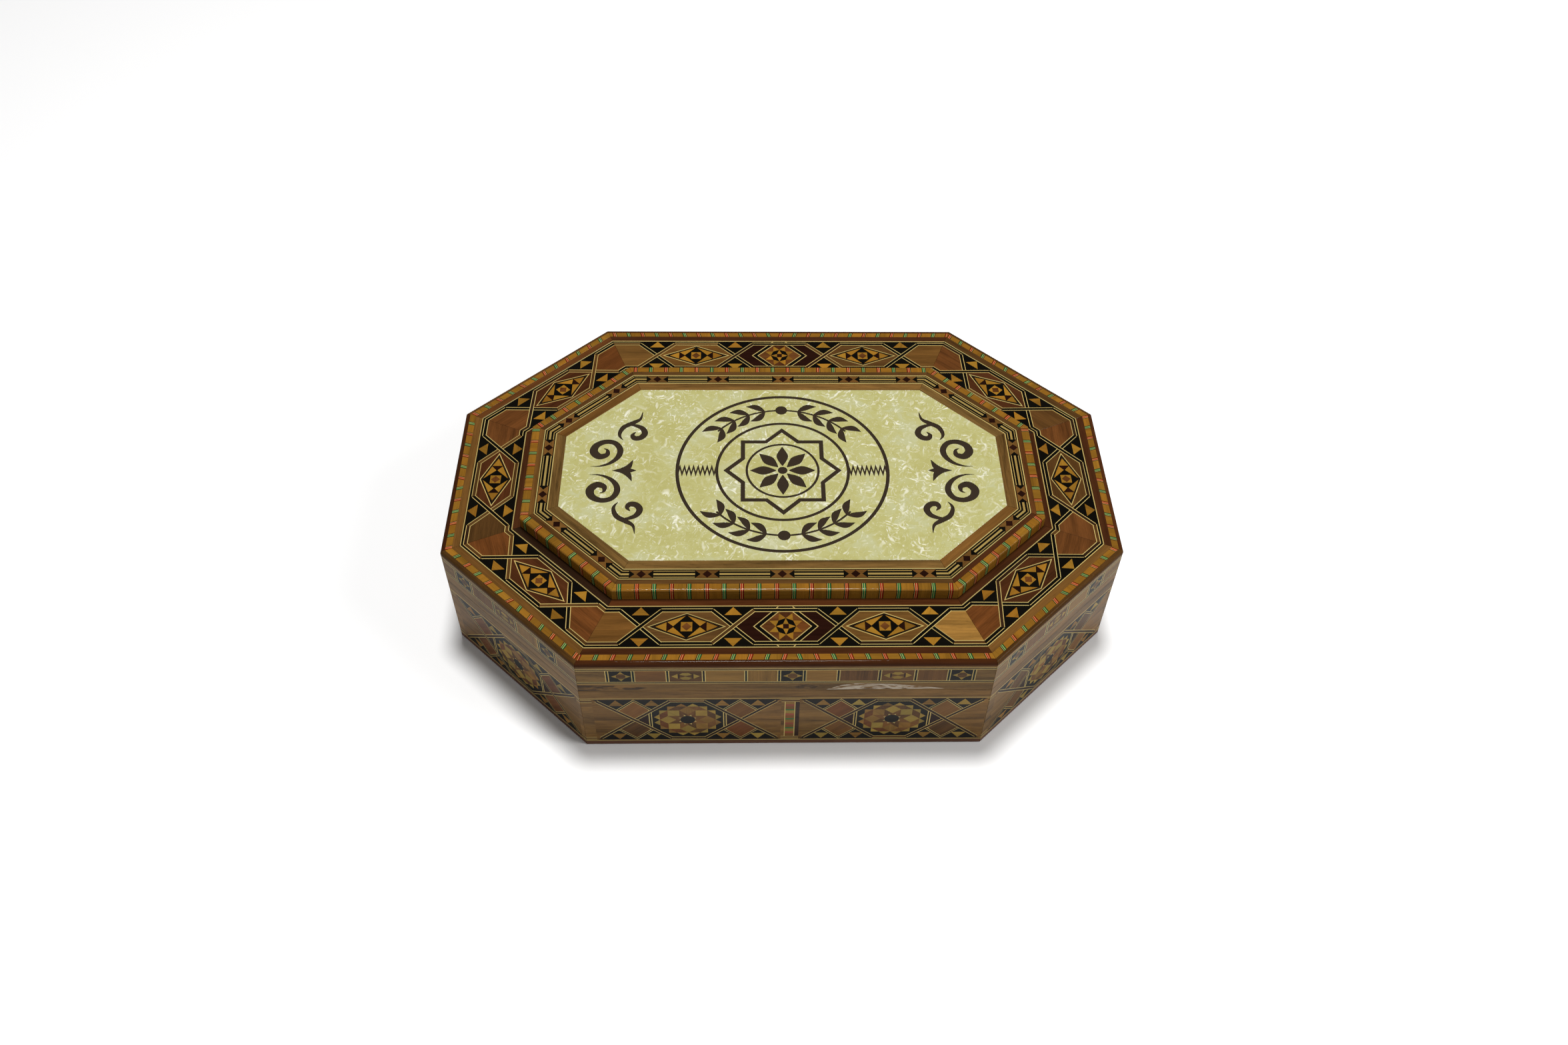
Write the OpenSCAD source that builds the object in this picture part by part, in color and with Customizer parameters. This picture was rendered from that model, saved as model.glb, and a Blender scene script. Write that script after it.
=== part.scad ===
// Inlaid wooden box: an elongated octagon with a hinged lid, a raised panel on the lid, marquetry
// sheets on every wall and a lined inside. The box stands on z = 0, centred on the origin. Its
// front faces -Y, its length runs along X, and the lid's hinges are on the back wall.
// The walls are numbered anticlockwise from the front one.

/* [Box] */
// Length over the two end walls
box_l = 300; // [240:2:380]
// Width over the front and back walls
box_w = 206; // [160:2:260]
// Length that each cut corner takes off a long wall
corner_l = 63; // [50:1:76]
// Length that each cut corner takes off an end wall
corner_w = 60; // [46:1:70]
// Height of the base, from the ground to the seam
base_h = 41.5; // [34:0.5:70]
// Height of the lid, from the seam to its deck
lid_h = 19.5; // [15:0.5:30]
// Height of the raised panel above the deck
plateau_h = 5.8; // [3:0.2:9]

/* [Boards] */
// Thickness of the wall boards
wall_t = 7; // [5:0.5:9]
// Thickness of the marquetry sheets on the walls
sheet_t = 1.5; // [0.8:0.1:2]
// Thickness of the bottom board
bottom_t = 4; // [3:0.5:6]
// Thickness of the deck board
deck_t = 5; // [4:0.5:6]
// Thickness of the inlay on the deck and the raised panel
inlay_t = 1; // [0.6:0.1:1.4]
// Height of the strip along the foot of the walls
foot_h = 2.8; // [2:0.2:5]
// Glue line left at each mitre, measured along the wall
mitre_gap = 0.1; // [0.06:0.02:0.2]

/* [Linings] */
// Thickness of the felt under the bottom board
felt_t = 0.8; // [0.5:0.1:1.5]
// Thickness of the velvet on its card
lining_t = 1.2; // [0.8:0.1:2]
// Distance of the wall linings from the seam
lining_drop = 0.4; // [0.3:0.1:2]

/* [Lid pattern, from the edge inwards] */
// Width of the dark edge strip
edge_w = 2.1; // [1.7:0.1:3]
// Height of the dark edge strip
edge_h = 2.2; // [1.8:0.1:3]
// Radius of the edge strip's outer arris
edge_r = 1.5; // [0.6:0.1:1.6]
// Width of the striped border
border_w = 2.8; // [2:0.1:4]
// Width of the plain strip inside the border
plain_w = 3.1; // [2:0.1:4]
// Width of each light line
line_w = 0.6; // [0.4:0.1:0.8]
// Width of the wide marquetry band
band_w = 20.8; // [14:0.2:24]
// Width of the dark strip around the raised panel
dark_w = 3.6; // [2:0.2:5]
// Width of the striped moulding around the raised panel
moulding_w = 3.7; // [3:0.1:5]
// Radius of the moulding's outer arris
moulding_r = 0.9; // [0.3:0.1:1.5]
// Width of the plain strip inside the moulding
inner_plain_w = 2.2; // [1.5:0.1:4]
// Width of the narrow marquetry band
narrow_w = 4.8; // [3:0.2:7]
// Width of the walnut frame around the pearl panel
frame_w = 4.5; // [3:0.5:7]

/* [Hinges] */
// Distance of each hinge from the middle of the back wall
hinge_x = 55; // [20:1:64]
// Length of a hinge, along the seam
hinge_l = 26; // [20:1:32]
// Depth of a leaf inside the wall
leaf_d = 7; // [5.5:0.5:7.5]
// Thickness of a leaf
leaf_t = 0.9; // [0.6:0.1:1.2]
// Radius of the knuckles
knuckle_r = 1.5; // [1.3:0.1:1.6]
// Length of the lid's knuckle
knuckle_l = 9.4; // [6:0.2:12]
// Radius of the hinge pin
pin_r = 0.8; // [0.6:0.1:0.9]
// Angle at which the knuckles' heels stop the lid
stop_angle = 95; // [90:1:105]
// Radius of a screw's head
screw_head_r = 1.9; // [1.6:0.1:2.2]
// Radius of a screw's shank
screw_r = 1; // [0.8:0.1:1.2]
// Length of a screw
screw_l = 7; // [5:0.5:9]
// Distance of each screw from the middle of its hinge
screw_x = 8.5; // [7:0.5:10]

/* [Hidden] */
// Clearances
leaf_gap = 0.1;      // around a leaf in its mortise, and between a knuckle and the wall
knuckle_gap = 0.2;   // between knuckles, end to end
pin_gap = 0.05;      // around the pin in the lid's knuckle
stop_gap = 0.03;     // left at the stop, when the lid is fully open
countersink_gap = 0.05;
over = 1;            // how far a cutter runs past what it cuts
arc_steps = 6;       // flats along a quarter-round arris

SIDES = ["front", "front_right", "right", "back_right", "back", "back_left", "left", "front_left"];
FRONT = 0;
BACK = 4;
HANDS = ["left", "right"];

// Insets of the lid's pattern, measured in from the outside of the walls
border_in = edge_w;
plain_in = border_in + border_w;
outer_line_in = plain_in + plain_w;
band_in = outer_line_in + line_w;
inner_line_in = band_in + band_w;
dark_in = inner_line_in + line_w;
moulding_in = dark_in + dark_w;
inner_plain_in = moulding_in + moulding_w;
narrow_line_in = inner_plain_in + inner_plain_w;
narrow_in = narrow_line_in + line_w;
frame_line_in = narrow_in + narrow_w;
frame_in = frame_line_in + line_w;
panel_in = frame_in + frame_w;

// Levels
deck_z = base_h + lid_h;
deck_board_top = deck_z - inlay_t;
deck_board_z = deck_board_top - deck_t;
top_z = deck_z + plateau_h;
plateau_board_top = top_z - inlay_t;
floor_z = felt_t + bottom_t + lining_t;
ceiling_z = deck_board_z - lining_t;

// Walls
inside_in = sheet_t + wall_t;
half_l = box_l / 2;
half_w = box_w / 2;
corner_run = norm([corner_l, corner_w]);

// Hinge axis, just outside the back wall on the seam
axis_out = knuckle_r + leaf_gap;
axis_y = half_w + axis_out;
screw_y = half_w - sheet_t - (leaf_d - sheet_t) / 2;
head_h = screw_head_r - screw_r;
head_drop = 0.05;

// ---- Outlines ----

// Corners of the box's outline moved in by d, anticlockwise from the front wall's left end
function octagon(d) =
    let (
        reach = ((half_l - corner_l) * corner_w + half_w * corner_l) / corner_run - d,
        x = (reach * corner_run - (half_w - d) * corner_l) / corner_w,
        y = (reach * corner_run - (half_l - d) * corner_w) / corner_l
    )
    [
        [-x, -(half_w - d)], [x, -(half_w - d)], [half_l - d, -y], [half_l - d, y],
        [x, half_w - d], [-x, half_w - d], [-(half_l - d), y], [-(half_l - d), -y]
    ];

function side_start(i) = octagon(0)[i];
function side_end(i) = octagon(0)[(i + 1) % len(SIDES)];
function side_run(i) = side_end(i) - side_start(i);
function side_length(i) = norm(side_run(i));
function side_angle(i) = atan2(side_run(i).y, side_run(i).x);

// Outline of one mitred piece of wall i, from inset d0 in to inset d1
function mitred_outline(i, d0, d1) =
    let (
        outer = octagon(d0),
        inner = octagon(d1),
        next = (i + 1) % len(SIDES),
        glue = side_run(i) / side_length(i) * mitre_gap / 2
    )
    [outer[i] + glue, outer[next] - glue, inner[next] - glue, inner[i] + glue];

// Section with a quarter-round arris at its outer top corner, from (x0, z0) to (x1, z1)
function rounded_section(x0, x1, z0, z1, r) = concat(
    [[x0, z0], [x1, z0], [x1, z1]],
    [for (k = [0 : arc_steps]) let (a = 90 + 90 * k / arc_steps) [x0 + r + r * cos(a), z1 - r + r * sin(a)]]
);

// ---- Shapes that repeat ----

// Whole octagonal sheet, inset by d
module sheet(d, z0, z1) {
    translate([0, 0, z0]) linear_extrude(z1 - z0) polygon(octagon(d));
}

// Mitred piece of wall i with a plain rectangular section
module mitred_piece(i, d0, d1, z0, z1) {
    translate([0, 0, z0]) linear_extrude(z1 - z0) polygon(mitred_outline(i, d0, d1));
}

// Mitred pieces of all eight walls
module mitred_ring(d0, d1, z0, z1) {
    for (i = [0 : len(SIDES) - 1]) mitred_piece(i, d0, d1, z0, z1);
}

// Mitred piece of wall i whose section is rounded at the outer top arris
module rounded_piece(i, d0, d1, z0, z1, r) {
    intersection() {
        translate(side_start(i)) rotate([0, 0, side_angle(i)]) rotate([90, 0, 90])
            linear_extrude(side_length(i)) polygon(rounded_section(d0, d1, z0, z1, r));
        mitred_piece(i, d0 - over, d1 + over, z0 - over, z1 + over);
    }
}

module rounded_ring(d0, d1, z0, z1, r) {
    for (i = [0 : len(SIDES) - 1]) rounded_piece(i, d0, d1, z0, z1, r);
}

// ---- Hinges ----

// Runs its children at both hinges
module at_hinges() {
    for (side = [-1, 1]) translate([side * hinge_x, 0, 0]) children();
}

// Runs its children at both screws of one hinge
module at_screws() {
    for (side = [-1, 1]) translate([side * screw_x, screw_y, base_h]) children();
}

// Block across the hinge at x = 0, from y0 to y1 and z0 to z1
module hinge_block(length, y0, y1, z0, z1) {
    translate([-length / 2, y0, z0]) cube([length, y1 - y0, z1 - z0]);
}

// Knuckle or pin along the hinge axis, from x0 to x1
module on_axis(x0, x1, r) {
    translate([x0, axis_y, base_h]) rotate([0, 90, 0]) cylinder(h = x1 - x0, r = r, $fn = 48);
}

// Screw hanging from the seam: head at the seam, point below it
module screw() {
    translate([0, 0, -head_drop]) difference() {
        union() {
            translate([0, 0, -head_h]) cylinder(h = head_h, r1 = screw_r, r2 = screw_head_r, $fn = 48);
            translate([0, 0, -screw_l]) cylinder(h = screw_l - head_h + 0.01, r = screw_r, $fn = 48);
        }
        translate([-screw_head_r, -0.3, -0.5]) cube([2 * screw_head_r, 0.6, over]);
    }
}

// Screw hole and countersink through a leaf that lies below the seam
module leaf_hole() {
    translate([0, 0, -leaf_t - over]) cylinder(h = leaf_t + 2 * over, r = screw_r + 0.1, $fn = 48);
    translate([0, 0, -head_drop - head_h - countersink_gap])
        cylinder(h = head_h + over, r1 = screw_r, r2 = screw_head_r + over, $fn = 48);
}

// Screw hole in the wall below the seam
module pilot_hole() {
    translate([0, 0, -head_drop - screw_l]) cylinder(h = screw_l + over, r = screw_r, $fn = 48);
}

// Room for both leaves of every hinge, and for their screws, in the walls below the seam
module hinge_mortises() {
    at_hinges() {
        hinge_block(hinge_l + 2 * leaf_gap, half_w - leaf_d - leaf_gap, half_w + over,
            base_h - leaf_t, base_h + over);
        at_screws() pilot_hole();
    }
}

// Turns what lies below the seam over, to lie above it
module above_seam() {
    translate([0, 0, 2 * base_h]) mirror([0, 0, 1]) children();
}

// Leaf of the base, with a knuckle at each end and a heel on each that stops the lid
module base_leaf() {
    knuckle_start = knuckle_l / 2 + knuckle_gap;
    heel_top = axis_out - stop_gap;
    heel = [
        [0, 0], [knuckle_r, 0],
        [knuckle_r, (heel_top + knuckle_r * cos(stop_angle)) / sin(stop_angle)],
        [0, heel_top]
    ];
    difference() {
        union() {
            hinge_block(hinge_l, half_w - leaf_d, half_w, base_h - leaf_t, base_h);
            for (side = [0, 1]) mirror([side, 0, 0]) {
                translate([knuckle_start, half_w - over, base_h - leaf_t])
                    cube([hinge_l / 2 - knuckle_start, axis_out + over, leaf_t]);
                on_axis(knuckle_start, hinge_l / 2, knuckle_r);
                translate([knuckle_start, axis_y, base_h]) rotate([90, 0, 90])
                    linear_extrude(hinge_l / 2 - knuckle_start) polygon(heel);
            }
        }
        on_axis(-hinge_l, hinge_l, pin_r);
        at_screws() leaf_hole();
    }
}

// Leaf of the lid, with one knuckle in the middle
module lid_leaf() {
    difference() {
        union() {
            hinge_block(hinge_l, half_w - leaf_d, half_w, base_h, base_h + leaf_t);
            hinge_block(knuckle_l, half_w - over, axis_y, base_h, base_h + leaf_t);
            on_axis(-knuckle_l / 2, knuckle_l / 2, knuckle_r);
        }
        on_axis(-hinge_l, hinge_l, pin_r + pin_gap);
        above_seam() at_screws() leaf_hole();
    }
}

// Pin with a flat head outside each end knuckle
module pin() {
    head_r = pin_r + 0.35;
    head_l = 0.5;
    on_axis(-hinge_l / 2, hinge_l / 2, pin_r);
    on_axis(-hinge_l / 2 - head_l, -hinge_l / 2, head_r);
    on_axis(hinge_l / 2, hinge_l / 2 + head_l, head_r);
}

// ---- Sub-parts: base ----

module felt_pad() { color("#1f4028") sheet(inside_in, 0, felt_t); }

module bottom_board() { color("#a98a5c") sheet(inside_in, felt_t, felt_t + bottom_t); }

module base_wall(i) {
    color("#8a6238") difference() {
        mitred_piece(i, sheet_t, inside_in, 0, base_h);
        if (i == BACK) hinge_mortises();
    }
}

module base_marquetry(i) {
    color("#6b4a2c") difference() {
        mitred_piece(i, 0, sheet_t, foot_h, base_h);
        if (i == BACK) hinge_mortises();
    }
}

module foot_strips() { color("#5a2f1e") mitred_ring(0, sheet_t, 0, foot_h); }

module base_floor_lining() { color("#6d0f1c") sheet(inside_in, felt_t + bottom_t, floor_z); }

module base_wall_lining() {
    color("#6d0f1c") mitred_ring(inside_in, inside_in + lining_t, floor_z, base_h - lining_drop);
}

// ---- Sub-parts: lid ----

module lid_wall(i) {
    color("#8a6238") difference() {
        mitred_piece(i, sheet_t, inside_in, base_h, deck_board_z);
        if (i == BACK) above_seam() hinge_mortises();
    }
}

module lid_rim_marquetry() {
    color("#6b4a2c") difference() {
        mitred_ring(0, sheet_t, base_h, deck_z - edge_h);
        above_seam() hinge_mortises();
    }
}

module deck_board() {
    color("#a98a5c") {
        sheet(sheet_t, deck_board_z, deck_z - edge_h);
        sheet(edge_w, deck_z - edge_h, deck_board_top);
    }
}

module edge_strips() { color("#3a1a12") rounded_ring(0, edge_w, deck_z - edge_h, deck_z, edge_r); }

module striped_border() { color("#b07432") mitred_ring(border_in, plain_in, deck_board_top, deck_z); }

module deck_plain_strips() { color("#6a3218") mitred_ring(plain_in, outer_line_in, deck_board_top, deck_z); }

module wide_band(i) { color("#241813") mitred_piece(i, band_in, inner_line_in, deck_board_top, deck_z); }

module deck_light_lines() {
    color("#d9c27c") {
        mitred_ring(outer_line_in, band_in, deck_board_top, deck_z);
        mitred_ring(inner_line_in, dark_in, deck_board_top, deck_z);
    }
}

module dark_strips() { color("#3a1a12") mitred_ring(dark_in, moulding_in, deck_board_top, deck_z); }

module plateau_board() { color("#a98a5c") sheet(inner_plain_in, deck_board_top, plateau_board_top); }

module striped_moulding() {
    color("#b07432") rounded_ring(moulding_in, inner_plain_in, deck_board_top, top_z, moulding_r);
}

module plateau_plain_strips() {
    color("#6a3218") mitred_ring(inner_plain_in, narrow_line_in, plateau_board_top, top_z);
}

module plateau_light_lines() {
    color("#d9c27c") {
        mitred_ring(narrow_line_in, narrow_in, plateau_board_top, top_z);
        mitred_ring(frame_line_in, frame_in, plateau_board_top, top_z);
    }
}

module narrow_band() { color("#241813") mitred_ring(narrow_in, frame_line_in, plateau_board_top, top_z); }

module walnut_frame() { color("#6e5230") mitred_ring(frame_in, panel_in, plateau_board_top, top_z); }

module pearl_panel() { color("#d8d2a2") sheet(panel_in, plateau_board_top, top_z); }

module lid_ceiling_lining() { color("#6d0f1c") sheet(inside_in, ceiling_z, deck_board_z); }

module lid_wall_lining() {
    color("#6d0f1c") mitred_ring(inside_in, inside_in + lining_t, base_h + lining_drop, ceiling_z);
}

// ---- Sub-parts: hinges ----

module base_hinge_leaf(side) { color("#c9a24a") translate([side * hinge_x, 0, 0]) base_leaf(); }

module lid_hinge_leaf(side) { color("#c9a24a") translate([side * hinge_x, 0, 0]) lid_leaf(); }

module hinge_pins() { color("#d8b45a") at_hinges() pin(); }

module base_hinge_screws() { color("#d8b45a") at_hinges() at_screws() screw(); }

module lid_hinge_screws() { color("#d8b45a") above_seam() at_hinges() at_screws() screw(); }

// ---- One node, or all of them ----

felt_pad();
bottom_board();
foot_strips();
base_floor_lining();
base_wall_lining();
for (i = [0 : 7]) base_wall(i);
for (i = [0 : 7]) base_marquetry(i);
for (i = [0 : 7]) lid_wall(i);
lid_rim_marquetry();
deck_board();
edge_strips();
striped_border();
deck_plain_strips();
for (i = [0 : 7]) wide_band(i);
deck_light_lines();
dark_strips();
plateau_board();
striped_moulding();
plateau_plain_strips();
plateau_light_lines();
narrow_band();
walnut_frame();
pearl_panel();
lid_ceiling_lining();
lid_wall_lining();
for (k = [0, 1]) base_hinge_leaf(2 * k - 1);
for (k = [0, 1]) lid_hinge_leaf(2 * k - 1);
hinge_pins();
base_hinge_screws();
lid_hinge_screws();
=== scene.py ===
"""Inlaid wooden box: an elongated octagon with a hinged lid, a raised panel and marquetry on every wall.

Every length is in millimetres until a point is placed. The front faces -Y and the hinges are at the back.
Every sheet and strip of marquetry is one closed mesh, cut into the tiles and lines of its pattern.
"""

import math
import random

import bmesh
import bpy
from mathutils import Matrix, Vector
from mathutils.geometry import delaunay_2d_cdt


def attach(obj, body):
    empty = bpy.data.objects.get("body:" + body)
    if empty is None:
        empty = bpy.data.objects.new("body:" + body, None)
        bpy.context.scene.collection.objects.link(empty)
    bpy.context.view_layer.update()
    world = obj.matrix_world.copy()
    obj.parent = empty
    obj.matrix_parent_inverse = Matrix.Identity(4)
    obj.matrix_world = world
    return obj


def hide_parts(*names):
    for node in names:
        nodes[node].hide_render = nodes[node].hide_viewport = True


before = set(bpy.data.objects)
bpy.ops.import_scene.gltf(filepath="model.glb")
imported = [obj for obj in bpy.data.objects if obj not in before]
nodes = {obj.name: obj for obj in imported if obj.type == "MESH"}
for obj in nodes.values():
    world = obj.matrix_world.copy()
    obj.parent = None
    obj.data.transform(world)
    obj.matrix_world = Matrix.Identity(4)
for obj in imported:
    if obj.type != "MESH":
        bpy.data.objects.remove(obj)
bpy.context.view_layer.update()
rng = random.Random(41)
MM = 0.001

# ---- Sizes, as in the CAD part ----
HALF_L, HALF_W = 150, 103
CORNER_L, CORNER_W = 63, 60
BASE_H, LID_H, PLATEAU_H = 41.5, 19.5, 5.8
SHEET_T, WALL_T, INLAY_T, MOULDING_T, EDGE_T = 1.5, 7.0, 1.0, 0.6, 0.5
FELT_T, BOTTOM_T, DECK_T, LINING_T, LINING_DROP = 0.8, 4.0, 5.0, 1.2, 0.4
FOOT_H, EDGE_H, EDGE_R, MOULDING_R = 2.8, 2.2, 1.5, 0.9
WALL_IN = SHEET_T + WALL_T

# Widths of the lid's rings of strips, from the edge to the pearl panel
EDGE_W, BORDER_W, PLAIN_W, LINE_W, BAND_W, DARK_W = 2.1, 2.8, 3.1, 0.6, 20.8, 3.6
MOULDING_W, INNER_PLAIN_W, NARROW_W, FRAME_W = 3.7, 2.2, 4.8, 4.5
# How far in from the outline each ring starts
BORDER_IN = EDGE_W
PLAIN_IN = BORDER_IN + BORDER_W
OUTER_LINE_IN = PLAIN_IN + PLAIN_W
BAND_IN = OUTER_LINE_IN + LINE_W
INNER_LINE_IN = BAND_IN + BAND_W
DARK_IN = INNER_LINE_IN + LINE_W
MOULDING_IN = DARK_IN + DARK_W
INNER_PLAIN_IN = MOULDING_IN + MOULDING_W
NARROW_LINE_IN = INNER_PLAIN_IN + INNER_PLAIN_W
NARROW_IN = NARROW_LINE_IN + LINE_W
FRAME_LINE_IN = NARROW_IN + NARROW_W
FRAME_IN = FRAME_LINE_IN + LINE_W
PANEL_IN = FRAME_IN + FRAME_W

DECK_Z = BASE_H + LID_H
TOP_Z = DECK_Z + PLATEAU_H
RIM_TOP = DECK_Z - EDGE_H
FLOOR_Z = FELT_T + BOTTOM_T + LINING_T
CEILING_Z = DECK_Z - INLAY_T - DECK_T - LINING_T
SIDES = ["front", "front_right", "right", "back_right", "back", "back_left", "left", "front_left"]
LONG = ("front", "back")
HINGE_X, HINGE_L, LEAF_T = 55, 26, 0.9

# ---- Woods: colour as it looks (0 to 255), figure, pores ----
WOODS = {
    "walnut": ((101, 74, 37), 1.25, 1.0),
    "walnut_dark": ((43, 27, 16), 0.9, 0.8),
    "foot": ((94, 63, 45), 0.6, 0.5),
    "rosewood": ((32, 13, 7), 0.8, 0.5),
    "mahogany": ((65, 35, 16), 0.8, 0.5),
    "sienna": ((88, 51, 22), 0.9, 0.7),
    "brown": ((78, 52, 24), 0.9, 0.7),
    "tan": ((98, 67, 30), 0.8, 0.6),
    # Painted light: this lighter wood stands for the light falling on the front band's right end.
    "golden": ((128, 92, 42), 0.9, 0.7),
    "orange": ((124, 85, 26), 0.6, 0.4),
    "panel_red": ((100, 66, 30), 0.6, 0.5),
    "panel_gold": ((117, 85, 37), 0.7, 0.5),
    "yellow": ((140, 99, 31), 0.4, 0.2),
    "lemon": ((130, 107, 47), 0.4, 0.2),
    "cream": ((168, 147, 89), 0.2, 0.1),
    "dull_cream": ((138, 116, 64), 0.3, 0.1),
    "black": ((11, 9, 6), 0.5, 0.2),
    "ink_green": ((16, 27, 18), 0.3, 0.1),
    "green": ((34, 94, 50), 0.2, 0.0),
    "red": ((138, 34, 20), 0.2, 0.0),
    "rose": ((128, 66, 46), 0.3, 0.1),
}
MARKS = {"scuffed": 1.0, "stained": -1.0}  # walnut with rubbed white lacquer, or with dark marks in it
HOLE, PEARL, INK = "hole", "pearl", "ink"


def linear(c):
    """Scene-linear value of a colour channel from 0 to 255."""
    c = c / 255
    return c / 12.92 if c <= 0.04045 else ((c + 0.055) / 1.055) ** 2.4


# ---- Materials ----
def new_material(name):
    m = bpy.data.materials.new(name)
    m.use_nodes = True
    tree = m.node_tree
    return m, tree, tree.nodes["Principled BSDF"]


def feed(tree, node, values):
    """Gives each named or numbered input of the node a value, or a link from another node's output."""
    for key, value in values.items():
        if isinstance(value, bpy.types.NodeSocket):
            tree.links.new(value, node.inputs[key])
        else:
            node.inputs[key].default_value = value


def add(tree, kind, **values):
    """A new node; each value goes to the input of that name or else to the node's own setting."""
    n = tree.nodes.new(kind)
    for key, value in values.items():
        if key in n.inputs:
            feed(tree, n, {key: value})
        else:
            setattr(n, key, value)
    return n


def math_node(tree, operation, *values, clamp=False):
    n = add(tree, "ShaderNodeMath", operation=operation, use_clamp=clamp)
    feed(tree, n, dict(enumerate(values)))
    return n.outputs[0]


def scaled(tree, vector, by):
    n = add(tree, "ShaderNodeVectorMath", operation="SCALE", Scale=by)
    feed(tree, n, {0: vector})
    return n.outputs[0]


def mix_colour(tree, share, colour, other):
    n = add(tree, "ShaderNodeMix", data_type="RGBA", Factor=share)
    feed(tree, n, {6: colour, 7: [linear(c) for c in other] + [1]})
    return n.outputs[2]


def noise(tree, vector, scale, detail, rough=0.55, stretch=(1, 1, 1), distortion=0.0):
    m = add(tree, "ShaderNodeMapping", Scale=stretch, Vector=vector)
    n = add(tree, "ShaderNodeTexNoise", Scale=scale, Detail=detail, Roughness=rough, Distortion=distortion,
            Vector=m.outputs[0])
    return n.outputs["Fac"]


def bump(tree, height, strength, distance):
    return add(tree, "ShaderNodeBump", Height=height, Strength=strength, Distance=distance).outputs["Normal"]


def wood_look(tree, bsdf, grain, tint, figure, pores, gloss, mark=None):
    """Lacquered wood with its grain along the x of grain, in millimetres.

    mark is above 0 where the lacquer is scuffed, and below 0 where the wood is stained.
    """
    cloud = noise(tree, grain, 1.0, 4, 0.6, (0.018, 0.22, 1), 0.6)
    fibre = noise(tree, grain, 1.0, 5, 0.65, (0.09, 1.9, 1), 0.2)
    pore = noise(tree, grain, 1.0, 2, 0.6, (0.32, 5.5, 1))
    pore = math_node(tree, "MULTIPLY_ADD", pore, 6.0, -3.5, clamp=True)
    shade = math_node(tree, "MULTIPLY_ADD", cloud, 1.9, -0.95)
    fine = math_node(tree, "MULTIPLY_ADD", fibre, 1.2, -0.6)
    shade = math_node(tree, "ADD", shade, fine)
    shade = math_node(tree, "MULTIPLY_ADD", shade, figure, 1.0)
    dark = math_node(tree, "MULTIPLY", pore, pores)
    dark = math_node(tree, "MULTIPLY_ADD", dark, -0.55, 1.0)
    shade = math_node(tree, "MULTIPLY", shade, dark)
    shade = math_node(tree, "MAXIMUM", shade, 0.2)
    colour = scaled(tree, tint, shade)
    if mark is not None:
        patch = noise(tree, grain, 1.0, 4, 0.6, (0.11, 0.5, 1), 0.8)
        patch = math_node(tree, "MULTIPLY_ADD", patch, 8.0, -3.2, clamp=True)
        for share, paint in ((0.8, (178, 166, 148)), (-0.8, (26, 18, 14))):
            much = math_node(tree, "MULTIPLY", mark, share, clamp=True)
            much = math_node(tree, "MULTIPLY", much, patch)
            colour = mix_colour(tree, much, colour, paint)
    ripple = noise(tree, grain, 0.35, 2)
    feed(tree, bsdf, {
        "Base Color": colour,
        "Roughness": math_node(tree, "MULTIPLY_ADD", fibre, 0.2, 0.36),
        "Normal": bump(tree, fibre, 0.25, 0.0002),
        "Specular IOR Level": 0.0,
        "Coat Weight": gloss,
        "Coat IOR": 1.45,
        "Coat Roughness": 0.06,
        "Coat Normal": bump(tree, ripple, 0.12, 0.0003),
    })


def inlay_material(name, gloss):
    """Wood that reads its colour, grain and feel from each tile's own faces."""
    m, tree, bsdf = new_material(name)
    grain, tint, feel = [add(tree, "ShaderNodeAttribute", attribute_name=a) for a in ("grain", "tint", "feel")]
    split = add(tree, "ShaderNodeSeparateXYZ", Vector=feel.outputs["Vector"])
    wood_look(tree, bsdf, grain.outputs["Vector"], tint.outputs["Color"],
              split.outputs["X"], split.outputs["Y"], gloss, split.outputs["Z"])
    return m


def in_millimetres(tree):
    place = add(tree, "ShaderNodeTexCoord").outputs["Object"]
    return add(tree, "ShaderNodeMapping", Scale=(1000, 1000, 1000), Vector=place).outputs[0]


def board_material(name, colour):
    """Plain board with its grain along X."""
    m, tree, bsdf = new_material(name)
    wood_look(tree, bsdf, in_millimetres(tree), [linear(c) for c in colour], 0.7, 0.6, gloss=0.25)
    return m


def ramp(tree, fac, *stops):
    n = add(tree, "ShaderNodeValToRGB", Fac=fac)
    while len(n.color_ramp.elements) < len(stops):
        n.color_ramp.elements.new(0.5)
    for e, (at, colour) in zip(n.color_ramp.elements, stops):
        e.position = at
        e.color = [linear(c) for c in colour] + [1]
    return n.outputs["Color"]


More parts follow.
